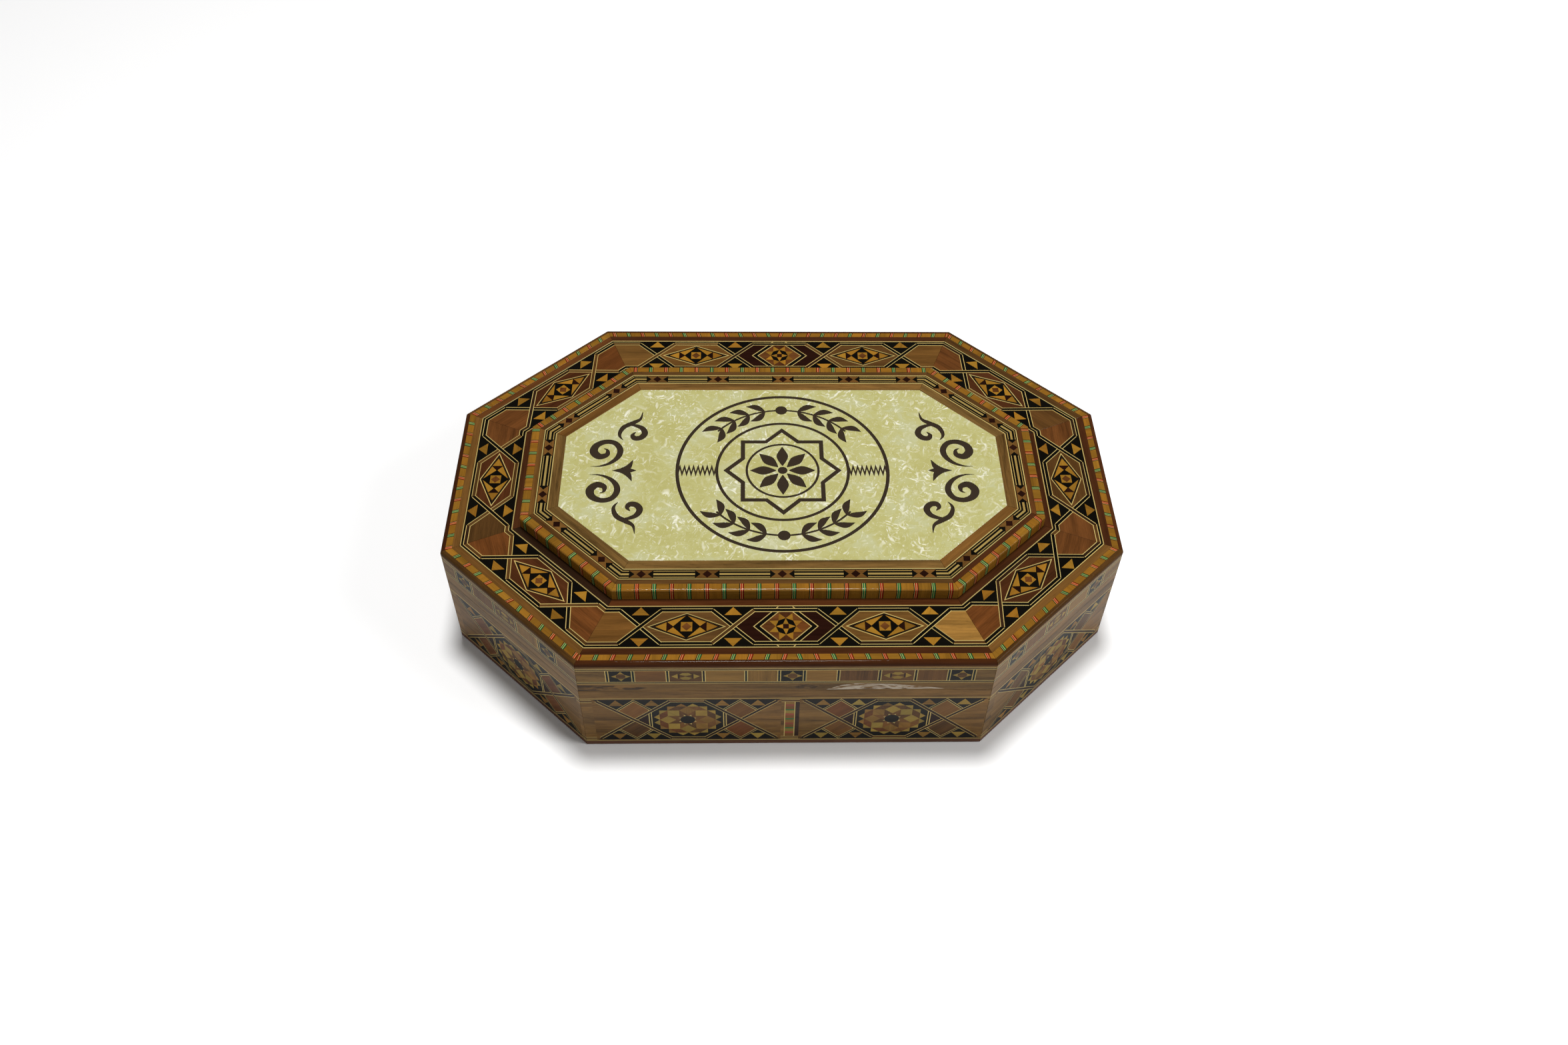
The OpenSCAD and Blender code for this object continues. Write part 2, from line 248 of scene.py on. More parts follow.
def pearl_material():
    """Pearl sheet: pale yellow, with flakes that lie at random angles and catch the light."""
    m, tree, bsdf = new_material("pearl_sheet")
    at = in_millimetres(tree)
    swirl = add(tree, "ShaderNodeTexNoise", Scale=0.09, Detail=2.0, Vector=at).outputs["Color"]
    warped = add(tree, "ShaderNodeVectorMath", operation="ADD")
    feed(tree, warped, {0: at, 1: scaled(tree, swirl, 9.0)})
    # Near-white streaks: partly the pearl's own white shards, partly painted highlight on its flakes.
    white = None
    for angle, shift, fine in ((0.5, 0, 1), (-0.8, 170, 1), (1.7, 330, 1), (0.1, 470, 1.9), (-1.3, 610, 1.9)):
        turn = add(tree, "ShaderNodeMapping", Rotation=(0, 0, angle), Location=(shift, shift, 0),
                   Vector=warped.outputs[0])
        streak = noise(tree, turn.outputs[0], fine, 1, 0.5, (0.09, 0.46, 1))
        streak = math_node(tree, "MULTIPLY_ADD", streak, 7.5, -4.75, clamp=True)
        white = streak if white is None else math_node(tree, "MAXIMUM", white, streak)
    where = noise(tree, at, 0.08, 2, 0.5)
    where = math_node(tree, "MULTIPLY_ADD", where, 5.0, -2.2, clamp=True)
    white = math_node(tree, "MULTIPLY", white, math_node(tree, "MULTIPLY_ADD", where, 0.6, 0.3))
    flake = add(tree, "ShaderNodeTexVoronoi", Scale=0.42, Randomness=0.9, Vector=warped.outputs[0])
    parts = add(tree, "ShaderNodeSeparateColor", Color=flake.outputs["Color"])
    cloud = noise(tree, at, 0.06, 2, 0.5)
    cloud = math_node(tree, "MULTIPLY_ADD", parts.outputs["Blue"], 0.2, cloud)
    base = ramp(tree, cloud, (0.42, (169, 164, 103)), (0.6, (174, 170, 112)), (0.82, (177, 176, 132)))
    lean = math_node(tree, "ADD", parts.outputs["Green"], white)
    feed(tree, bsdf, {
        # The streaks' near-white colour is in part painted highlight, on top of the pearl's own pale shards.
        "Base Color": mix_colour(tree, white, base, (226, 224, 206)),
        "Roughness": math_node(tree, "MULTIPLY_ADD", cloud, 0.3, 0.1),
        "Normal": bump(tree, lean, 0.4, 0.0004),
        "Specular IOR Level": 0.3,
        "Coat Weight": 0.7,
        "Coat Roughness": 0.04,
    })
    return m


def plain_material(name, colour, rough, metallic=0.0, speck=0.0, scale=400.0, sheen=0.0, level=0.5,
                   relief=0.0002):
    """One colour with a fine grain of the given scale, for metal, cloth and ink."""
    m, tree, bsdf = new_material(name)
    place = add(tree, "ShaderNodeTexCoord").outputs["Object"]
    grains = noise(tree, place, scale, 4, 0.65)
    shade = math_node(tree, "MULTIPLY_ADD", grains, 2 * speck, 1 - speck)
    tint = [linear(c) for c in colour]
    feed(tree, bsdf, {
        "Base Color": scaled(tree, tint, shade),
        "Roughness": math_node(tree, "MULTIPLY_ADD", grains, 0.25, rough - 0.12),
        "Normal": bump(tree, grains, 0.35, relief),
        "Metallic": metallic,
        "Specular IOR Level": level,
        "Sheen Weight": sheen,
    })
    if sheen:
        feed(tree, bsdf, {"Sheen Roughness": 0.35, "Sheen Tint": [min(1, c * 4 + 0.1) for c in tint] + [1]})
    return m


inlay = inlay_material("lacquered_inlay", 0.32)
worn_edge = inlay_material("worn_edge", 0.1)
pearl = pearl_material()
ink = plain_material("engraving", (44, 33, 21), 0.8, speck=0.5, scale=2200.0, level=0.15)
velvet = plain_material("velvet", (112, 14, 26), 0.85, speck=0.2, scale=900.0, sheen=0.8)
felt = plain_material("felt", (30, 62, 38), 0.95, speck=0.3, scale=1500.0, sheen=0.3)
brass = plain_material("brass", (196, 162, 104), 0.36, metallic=1.0, speck=0.12, scale=260.0, relief=0.00002)
board = board_material("wall_boards", (176, 132, 84))
plywood = board_material("plywood", (190, 158, 110))
FILLS = {PEARL: 1, INK: 2}


# ---- The octagon ----
BEYOND = 200  # further along a wall than any strip reaches
HALF_RUN = 100  # more than half the longest strip


def octagon(d):
    """Corners of the box's outline moved in by d, anticlockwise from the front wall's left end."""
    run = math.hypot(CORNER_L, CORNER_W)
    reach = ((HALF_L - CORNER_L) * CORNER_W + HALF_W * CORNER_L) / run - d
    x = (reach * run - (HALF_W - d) * CORNER_L) / CORNER_W
    y = (reach * run - (HALF_L - d) * CORNER_W) / CORNER_L
    w, h = HALF_W - d, HALF_L - d
    corners = [(-x, -w), (x, -w), (h, -y), (h, y), (x, w), (-x, w), (-h, y), (-h, -y)]
    return [Vector(c) for c in corners]


class Strip:
    """One wall's strip. x runs along the wall and v across the strip; its profile is (v, inset, z) points."""

    glue = 0.04  # half the glue line in a mitre

    def __init__(self, i, profile, arris=0.05):
        a, b = octagon(0)[i], octagon(0)[(i + 1) % 8]
        self.i, self.mid = i, (a + b) / 2
        self.u = (b - a).normalized()
        self.inward = Vector((-self.u.y, self.u.x))
        self.profile, self.arris = profile, arris
        self.v0, self.v1 = profile[0][0], profile[-1][0]

    def ends(self, d):
        """Where the strip's two mitred ends lie along x, at the inset d."""
        o = octagon(d)
        return [(p - self.mid).dot(self.u) for p in (o[self.i], o[(self.i + 1) % 8])]

    def section(self, v, depth=0.0):
        """(inset, z) of the profile at v, moved into the wood by depth."""
        for (va, da, za), (vb, db, zb) in zip(self.profile, self.profile[1:]):
            if v <= vb + 1e-9 or vb == self.v1:
                t = min(1.0, max(0.0, (v - va) / (vb - va)))
                run = Vector((db - da, zb - za)).normalized()
                into = Vector((run.y, -run.x))
                return da + (db - da) * t + into.x * depth, za + (zb - za) * t + into.y * depth

    def outline(self):
        """The strip's shape in x and v, less the glue line at its ends and the arris all round."""
        levels = [self.v0 + self.arris] + [p[0] for p in self.profile[1:-1]] + [self.v1 - self.arris]
        edge = self.glue + self.arris
        right = [(self.ends(self.section(v)[0])[1] - edge, v) for v in levels]
        left = [(self.ends(self.section(v)[0])[0] + edge, v) for v in levels]
        return right + left[::-1]

    def creases(self):
        return [((-BEYOND, p[0]), (BEYOND, p[0])) for p in self.profile[1:-1]]

    def place(self, x, v, depth, spread=False):
        """The point at (x, v), moved into the wood by depth; spread takes it out to the full width again."""
        if spread:
            share = (v - self.v0 - self.arris) / (self.v1 - self.v0 - 2 * self.arris)
            v = self.v0 + share * (self.v1 - self.v0)
        d0 = self.section(v)[0]
        d, z = self.section(v, depth)
        if spread:
            (a0, a1), (b0, b1) = self.ends(d0), self.ends(d)
            edge = self.glue + self.arris
            t = (x - a0 - edge) / (a1 - a0 - 2 * edge)
            x = b0 + self.glue + t * (b1 - b0 - 2 * self.glue)
        return self.point(x, d, z)

    def point(self, x, d, z):
        p = self.mid + self.u * x + self.inward * d
        return Vector((p.x, p.y, z)) * MM


class Plate:
    """A whole octagonal sheet at one level."""

    def __init__(self, d, z, arris=0.05):
        self.d, self.z, self.arris = d, z, arris

    def outline(self):
        return [tuple(p) for p in octagon(self.d + self.arris)]

    def creases(self):
        return []

    def place(self, x, v, depth, spread=False):
        if spread:
            x, v = x * (1 + self.arris / 90), v * (1 + self.arris / 50)
        return Vector((x, v, self.z - depth)) * MM


# ---- Designs: tiles laid in order, each one covering what is under it ----
class Design:
    """Tiles on a ground. Each new tile draws its own tone, tint and place in the wood."""

    def __init__(self, ground="walnut"):
        self.tiles = []
        self.ground = self.stuff(ground, 0.0)

    def stuff(self, wood, angle):
        """(wood, grain angle, tint, feel, grain shift) of one tile."""
        if wood in (HOLE, PEARL, INK):
            return (wood, angle, (0, 0, 0), (0, 0, 0), (0, 0))
        mark = MARKS.get(wood, 0)
        colour, figure, pores = WOODS["walnut" if mark else wood]
        tone = rng.uniform(0.84, 1.16)
        warm = rng.uniform(-0.05, 0.05)
        tint = [linear(c) * tone for c in colour]
        tint[0] *= 1 + warm
        tint[2] *= 1 - warm
        return (wood, angle, tint, (figure, pores, mark), (rng.uniform(0, 900), rng.uniform(0, 900)))

    def tile(self, points, wood, angle=0.0):
        pts = [tuple(p) for p in points]
        if sum(a[0] * b[1] - b[0] * a[1] for a, b in zip(pts, pts[1:] + pts[:1])) < 0:
            pts.reverse()
        self.tiles.append((pts, self.stuff(wood, angle)))

    def rect(self, x0, v0, x1, v1, wood, angle=0.0):
        self.tile([(x0, v0), (x1, v0), (x1, v1), (x0, v1)], wood, angle)

    def path(self, points, width, wood):
        """A line of that width through the points, mitred at each; one tile for each stretch."""
        pts = [Vector(p) for p in points]
        runs = [(b - a).normalized() for a, b in zip(pts, pts[1:])]
        sides = []
        for p, before, after in zip(pts, runs[:1] + runs, runs + runs[-1:]):
            m = (before + after).normalized()
            side = Vector((-m.y, m.x))
            reach = width / 2 / max(0.3, side.dot(Vector((-after.y, after.x))))
            sides.append((p + side * reach, p - side * reach))
        for run, (la, ra), (lb, rb) in zip(runs, sides, sides[1:]):
            self.tile([ra, rb, lb, la], wood, math.atan2(run.y, run.x))

    def strap(self, points, width, cores, line=0.32):
        """A strap: light lines with a darker core between, one core wood for each stretch."""
        self.path(points, width, "cream")
        start = len(self.tiles)
        self.path(points, width - 2 * line, "black")
        for k in range(start, len(self.tiles)):
            shape, stuff = self.tiles[k]
            self.tiles[k] = (shape, self.stuff(cores[(k - start) % len(cores)], stuff[1]))


def turned(points, cx, cy, angle=0.0, sx=1.0, sy=1.0):
    """Points turned by angle, stretched by sx and sy, and moved to (cx, cy)."""
    c, s = math.cos(angle), math.sin(angle)
    return [(cx + (x * c - y * s) * sx, cy + (x * s + y * c) * sy) for x, y in points]


def mirrored(points, cx, cy, sx, sy):
    """Points flipped by the signs sx and sy about (cx, cy)."""
    return turned(points, cx, cy, 0.0, sx, sy)


def polar(r, a):
    return r * math.cos(a), r * math.sin(a)


def regular(n, r, turn=0.0):
    """Corners of a regular n-gon, the first at the angle turn."""
    return [polar(r, turn + 2 * math.pi * k / n) for k in range(n)]


def layer(layers, name):
    return layers.get(name) or layers.new(name)


def lay(bm, surface, design, thick, sunk=0.0):
    """Cuts the design's tiles to the surface and makes them one closed sheet, thick deep."""
    tint = layer(bm.loops.layers.float_color, "tint")
    grain = layer(bm.loops.layers.float_vector, "grain")
    feel = layer(bm.loops.layers.float_vector, "feel")
    px = layer(bm.verts.layers.float, "px")
    pv = layer(bm.verts.layers.float, "pv")
    shapes = [(surface.outline(), design.ground)] + design.tiles
    coords, faces = [], []
    for points, _ in shapes:
        faces.append(list(range(len(coords), len(coords) + len(points))))
        coords += [Vector(p) for p in points]
    edges = []
    for a, b in surface.creases():
        edges.append((len(coords), len(coords) + 1))
        coords += [Vector(a), Vector(b)]
    verts, _, tris, _, _, owners = delaunay_2d_cdt(coords, edges, faces, 1, 1e-4, True)
    made, front, low = {}, [], []

    def put(face, stuff):
        """Writes one tile's colour, grain and feel on a face."""
        wood, angle, colour, mood, shift = stuff
        c, s = math.cos(angle), math.sin(angle)
        for loop in face.loops:
            x, v = loop.vert[px], loop.vert[pv]
            loop[tint] = (*colour, 1)
            loop[grain] = (x * c + v * s + shift[0], v * c - x * s + shift[1], shift[0])
            loop[feel] = mood
        face.material_index = FILLS.get(wood, 0)

    for corners, ids in zip(tris, owners):
        if 0 not in ids:
            continue
        stuff = shapes[max(ids)][1]
        if stuff[0] == HOLE:
            continue
        for k in corners:
            if k not in made:
                x, v = verts[k]
                made[k] = bm.verts.new(surface.place(x, v, 0))
                made[k][px], made[k][pv] = x, v
        face = bm.faces.new([made[k] for k in corners])
        put(face, stuff)
        front.append((face, stuff))
        if stuff[0] == INK:
            low.append(face)
    rim = {}
    for face, stuff in front:
        for e in face.edges:
            if len(e.link_faces) == 1:
                rim[e] = stuff
    for depth in (surface.arris, thick):
        grown = bmesh.ops.extrude_edge_only(bm, edges=list(rim))
        for vert in grown["geom"]:
            if isinstance(vert, bmesh.types.BMVert):
                vert.co = surface.place(vert[px], vert[pv], depth, spread=True)
        next_rim = {}
        for e, stuff in rim.items():
            for face in e.link_faces:
                far = [x for x in face.edges if x.is_boundary]
                if far and len(face.verts) == 4:
                    put(face, stuff)
                    next_rim[far[0]] = stuff
        rim = next_rim
    back = bmesh.ops.edgeloop_fill(bm, edges=list(rim))["faces"]
    for face in back:
        put(face, design.ground)
    if low and sunk:
        moved = bmesh.ops.extrude_face_region(bm, geom=low)["geom"]
        bmesh.ops.delete(bm, geom=[f for f in low if f.is_valid], context="FACES_ONLY")
        for g in moved:
            if isinstance(g, bmesh.types.BMVert):
                g.co.z -= sunk * MM


def new_object(name, data):
    o = bpy.data.objects.new(name, data)
    bpy.context.scene.collection.objects.link(o)
    return o


def finish_piece(name, bm, body, replaced, materials, smooth=None):
    """Makes a piece that rides on its body and replaces its CAD nodes; smooth is a sharp edge's angle."""
    for found in list(bm.verts.layers.float.values()):
        bm.verts.layers.float.remove(found)
    bmesh.ops.recalc_face_normals(bm, faces=bm.faces[:])
    mesh = bpy.data.meshes.new(name)
    bm.to_mesh(mesh)
    bm.free()
    for m in materials:
        mesh.materials.append(m)
    if smooth is not None:
        mesh.shade_smooth()
        mesh.set_sharp_from_angle(angle=math.radians(smooth))
    obj = new_object(name, mesh)
    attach(obj, body)
    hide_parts(*replaced)
    return obj


def ring(name, body, replaced, profile, thick, designer, smooth=None, sides=range(8), wood=inlay,
         arris=0.05):
    """One piece made of a strip along each of the sides."""
    bm = bmesh.new()
    for i in sides:
        strip = Strip(i, profile, arris)
        lay(bm, strip, designer(i, strip), thick)
    return finish_piece(name, bm, body, replaced, [wood], smooth)


def stringing(name, replaced, z, *lines):
    """One piece made of light lines along all the sides, one for each pair of outer and inner insets."""
    bm = bmesh.new()
    for d0, d1 in lines:
        for i in range(8):
            lay(bm, Strip(i, flat(d0, d1, z), 0.03), light_line(d0), INLAY_T)
    finish_piece(name, bm, "lid", replaced, [inlay])


# ---- Repeated motifs ----
def square_star(d, cx, cy, w, h):
    """Black square with a yellow four-pointed star around a brown octagon."""
    reach_x, reach_y = 4.05, 3.45
    d.rect(cx - w / 2, cy - h / 2, cx + w / 2, cy + h / 2, "black")
    for k in range(4):
        point = [(reach_x, 0), (1.2, 1.7), (1.2, -1.7)]
        d.tile(turned(point, cx, cy, k * math.pi / 2, 1, reach_y / reach_x), "lemon")
    d.tile(turned(regular(8, 2.1, math.pi / 8), cx, cy, 0, 1, 0.9), "brown")


def long_star(d, x0, x1, v0, v1):
    """Brown panel with a drawn-out yellow star."""
    d.rect(x0, v0, x1, v1, "brown")
    cx, cy = (x0 + x1) / 2, (v0 + v1) / 2
    for side in (-1, 1):
        d.tile(mirrored([(5.9, 0), (3.3, 1.7), (3.3, -1.7)], cx, cy, side, side), "lemon")
        cap = [(-2.6, 1.1), (0, 0.25), (2.6, 1.1), (1.3, 2.4), (-1.3, 2.4)]
        d.tile(mirrored(cap, cx, cy, 1, side), "lemon")
        bar = [(2.5, 1.0), (3.1, 1.6), (3.1, -1.6), (2.5, -1.0)]
        d.tile(mirrored(bar, cx, cy, side, side), "walnut_dark")


def divider(d, x0, x1, v0, v1, core):
    """Upright dark bar between light lines."""
    line = 0.4
    d.rect(x0, v0, x1, v1, "cream", math.pi / 2)
    d.rect(x0 + line, v0, x1 - line, v1, core, math.pi / 2)


def rosette(d, cx, cy):
    """Eight-fold rosette of squares and rhombi around a black octagon, a little wider than it is tall."""
    wider, edge = 1.17, 4.25
    tip, high = 1.848 * edge, 2.414 * edge

    def shape(points):
        return turned(points, cx, cy, 0, wider)

    for k in range(8):
        a = k * math.pi / 4
        half, after = a + math.pi / 8, a + math.pi / 4
        here, there = polar(high, a), polar(high, after)
        side, near, corner = polar(tip, half), polar(tip, a - math.pi / 8), polar(1.4187 * tip, half)
        inner, last = polar(edge, a), polar(edge, after)
        d.tile(shape([side, here, corner, there]), rng.choice(["brown", "sienna", "panel_red"]), half)
        for p, q in ((here, corner), (corner, there)):
            out = Vector((q[1] - p[1], p[0] - q[0])).normalized() * edge / 2
            tooth = ((p[0] + q[0]) / 2 + out.x, (p[1] + q[1]) / 2 + out.y)
            d.tile(shape([p, tooth, q]), rng.choice(["lemon", "panel_gold", "lemon", "lemon"]))
        d.tile(shape([inner, near, here, side]), rng.choice(["lemon", "lemon", "lemon", "panel_gold"]), a)
        d.tile(shape([(0, 0), inner, side, last]), "panel_red" if k % 2 else "brown", half)
    for k in range(8):
        d.tile(turned([(4.1, 0), (3.0, 0.6), (3.0, -0.6)], cx, cy, k * math.pi / 4 + math.pi / 8), "cream")
    d.tile(turned(regular(8, 1, math.pi / 8), cx, cy, 0, 3.35, 3.2), "black")


# ---- Walls' designs ----
UNIT_MID, UNIT_RISE, STRAP_W, THIN_LINE = 19.4, 14.4, 1.75, 0.27


def wall_unit(d, cx, cy):
    """Crossing straps with diamonds and black fields on both sides of a rosette."""
    rise, edge, cross = UNIT_RISE, 15.6, 22.6
    d.rect(cx - 39.5, cy - edge, cx + 39.5, cy + edge, "black")
    for side in (-1, 1):
        x, out = cx + side * cross, cx + side * 38
        d.tile([(out + side * 2.2, cy - edge), (out - side * 0.2, cy - rise), (x, cy),
                (out - side * 0.2, cy + rise), (out + side * 2.2, cy + edge)], "walnut")
        d.tile([(x, cy), (cx + side * 15.2, cy + 7.2), (cx + side * 15.2, cy - 7.2)], "rosewood")
        for up in (-1, 1):
            diamond = [(0, 0), (7.6, 7.4), (0, 15.3), (-7.6, 7.4)]
            wood = rng.choice(["panel_red", "brown", "brown", "sienna"])
            d.tile(mirrored(diamond, x, cy, 1, up), wood, math.pi / 4)
            roof = [(-7.7, 7.0), (0, 14.75), (7.7, 7.0)]
            d.strap(mirrored(roof, x, cy, 1, up), 1.2, ["black", "walnut_dark"], THIN_LINE)
            for dx in (-7.6, 7.6):
                wedge = [(dx - 3.3, 10.9), (dx + 3.3, 10.9), (dx, 15.2)]
                d.tile(mirrored(wedge, x, cy, 1, up), rng.choice(["lemon", "panel_gold"]))
    upper_half = [(16.4, 6.3), (7.6, rise), (-7.6, rise), (-16.4, 6.3)]
    d.tile([(cx + up * x, cy + up * y) for up in (1, -1) for x, y in upper_half], "black")
    rosette(d, cx, cy)
    for side in (-1, 1):
        d.strap([(cx + side * 16, cy - 7.5), (cx + side * 16, cy + 7.5)], 1.5, ["black"], 0.42)
    for up in (-1, 1):
        core = rng.choice(["walnut_dark", "brown"])
        d.strap([(cx - 7.6, cy + up * rise), (cx + 7.6, cy + up * rise)], STRAP_W, [core], THIN_LINE)
    for slope in (1, -1):
        for side in (-1, 1):
            low, high = cy - side * slope * rise, cy + side * slope * rise
            d.strap([(cx + side * 7.3, low), (cx + side * 38.4, high)], STRAP_W, ["walnut_dark"], THIN_LINE)


def upright_rod(d, z0, z1):
    """Rod of short coloured pieces between light lines."""
    order = ["panel_red", "rose", "lemon", "green", "panel_red", "rose", "panel_gold", "green"]
    tall = {"rose": 1.6, "green": 0.9}
    d.rect(-0.3, z0, 4.3, z1, "cream", math.pi / 2)
    z, k = z0, 0
    while z < z1:
        wood = order[k % len(order)]
        top = z + tall.get(wood, 2.3)
        d.rect(0.1, z, 3.9, min(top, z1), wood)
        z, k = top, k + 1


def base_wall(i, strip):
    d = Design("walnut")
    x0, x1 = strip.ends(0)
    low, high = 3.3, 35.8
    d.rect(x0, low, x1, high, "walnut")
    for up in (-1, 1):
        z = UNIT_MID + up * UNIT_RISE
        d.strap([(x0, z), (x1, z)], STRAP_W, ["brown"])
    if SIDES[i] in LONG:
        z0, z1 = UNIT_MID - UNIT_RISE + 0.9, UNIT_MID + UNIT_RISE - 0.9
        d.rect(4.2, z0, 30, z1, "walnut_dark")
        upright_rod(d, z0, z1)
    for cx in (-41.9, 46.3) if SIDES[i] in LONG else (1.0,):
        wall_unit(d, cx, UNIT_MID)
    for z in (low - 0.3, high - 0.3):
        d.rect(x0, z, x1, z + 0.45, "cream")
    d.rect(x0, high + 0.15, x1, BASE_H + 1.5, "walnut")
    notches(d, i, BASE_H - LEAF_T, BASE_H + 1)
    return d


def notches(d, i, z0, z1):
    """Gaps in the back wall for the hinge leaves."""
    if SIDES[i] == "back":
        half = HINGE_L / 2 + 0.1
        for x in (-HINGE_X, HINGE_X):
            d.rect(x - half, z0, x + half, z1, HOLE)


def rim_wall(i, strip):
    d = Design("walnut")
    x0, x1 = strip.ends(0)
    low, high, bar_w = 48.3, 56.1, 1.6
    d.rect(x0, low, x1, high, "walnut")
    if SIDES[i] in LONG:
        bars = [-75, -64.2, -50, -35, -17.5, -3.8, 6.8, 20.8, 38, 53, 66.8, 77.3]
        fills = ["star", "panel_red", "long", "panel_gold", "panel_gold", "star",
                 "panel_gold", "brown", "long", "panel_red", "star"]
    else:
        bars = [-35.3, -24.6, -9.7, 4.8, 19.4, 30.0]
        fills = ["star", "panel_red", "long", "panel_gold", "star"]
    for fill, a, b in zip(fills, bars, bars[1:]):
        a, b = a + bar_w / 2, b + bar_w / 2
        if fill == "star":
            square_star(d, (a + b + 0.6) / 2, (low + high) / 2, b - a - 0.6, high - low)
        elif fill == "long":
            long_star(d, a, b, low, high)
        else:
            d.rect(a, low, b, high, fill, math.pi / 2 if rng.random() < 0.5 else 0.0)
    for x in bars:
        divider(d, x, x + bar_w, low, high, rng.choice(["ink_green", "black"]))
    for z in (low - 1.45, low - 0.35, high, high + 1.1):
        d.rect(x0, z, x1, z + 0.35, "cream")
    for z in (low - 1.1, high + 0.35):
        d.rect(x0, z, x1, z + 0.75, "walnut_dark")
    if SIDES[i] == "front":
        d.tile([(17, 42.1), (67, 42.4), (59, 43.9), (45, 45.9), (29, 46.6), (23, 45.2)], "scuffed")
        d.tile([(-88, 42.0), (-62, 42.6), (-58, 44.0), (-70, 45.4), (-88, 46.0)], "stained")
        d.tile([(2, 43.2), (12, 43.0), (14, 45.2), (6, 46.2)], "stained")
    notches(d, i, BASE_H - 1, BASE_H + LEAF_T)
    return d


# ---- The lid's bands ----
BAND_MID, BAND_HALF = BAND_IN + BAND_W / 2, BAND_W / 2
BAND_WOODS = {  # left end, hexagons, right end, where a side isn't as most short ones are
    # The front's right end is lighter than its tan left end: painted light falling from the right.
    "front": ("tan", "brown", "rosewood", "tan", "golden"),
    "right": ("sienna", "brown", "sienna"),
    "back_right": ("brown", "mahogany", "sienna"),
    "back": ("tan", "brown", "rosewood", "tan", "tan"),
    "left": ("sienna", "mahogany", "brown"),
}


def lozenge(d, cx, cy):
    """Long rhombus with yellow triangles around a black lozenge."""
    rhombus = [(-16.6, 0), (0, -7.15), (16.6, 0), (0, 7.15)]
    for size, wood in ((1.0, "cream"), (0.94, "black"), (0.875, "walnut_dark"), (0.835, "black")):
        d.tile(turned(rhombus, cx, cy, 0, size, size), wood)
    for side in (-1, 1):
        tip = [(13.0, 0), (8.4, 2.3), (8.4, -2.3)]
        d.tile(mirrored(tip, cx, cy, side, side), rng.choice(["yellow", "orange"]))
        d.tile(mirrored([(8.3, 2.25), (5.9, 0), (8.3, -2.25)], cx, cy, side, side), "rosewood")
        for up in (-1, 1):
            wing = [(8.1, 2.4), (0.5, 5.6), (5.6, 0.25)]
            d.tile(mirrored(wing, cx, cy, side, up), "yellow", -up * side * 0.4)
    d.rect(cx - 2.4, cy - 2.4, cx + 2.4, cy + 2.4, "yellow")
    d.tile(turned(regular(4, 2.1), cx, cy), "sienna")


def centre_star(d, cx, cy):
    """Eight-pointed star inside a pair of chevrons."""
    d.tile([(cx - 12, cy), (cx - 2.8, cy - 9.2), (cx + 2.8, cy - 9.2), (cx + 12, cy), (cx + 2.8, cy + 9.2),
            (cx - 2.8, cy + 9.2)], "sienna")
    for side in (-1, 1):
        arm = [(cx + side * 2.4, cy - 9.6), (cx + side * 12.1, cy), (cx + side * 2.4, cy + 9.6)]
        d.strap(arm, 2.35, ["black", rng.choice(["black", "walnut_dark"])], 0.38)
    core, point = 4.3, 7.45
    for k in range(8):
        a = k * math.pi / 4
        if k % 2 == 0:
            across = k % 4 == 0
            kite = [polar(core, a), polar(point, a - math.pi / 8), polar(10.0 if across else 9.0, a),
                    polar(point, a + math.pi / 8)]
            d.tile(turned(kite, cx, cy), "sienna" if across else "mahogany", a)
        ray = [polar(core, a), polar(point, a + math.pi / 8), polar(core, a + math.pi / 4)]
        d.tile(turned(ray, cx, cy), rng.choice(["yellow", "yellow", "orange"]), a)
    d.tile(turned(regular(8, core), cx, cy), "black")
    for k in range(4):
        d.tile(turned([(4.15, 0), (1.2, 1.2), (1.2, -1.2)], cx, cy, k * math.pi / 2), "yellow")
    d.rect(cx - 1.22, cy - 1.22, cx + 1.22, cy + 1.22, "rosewood")


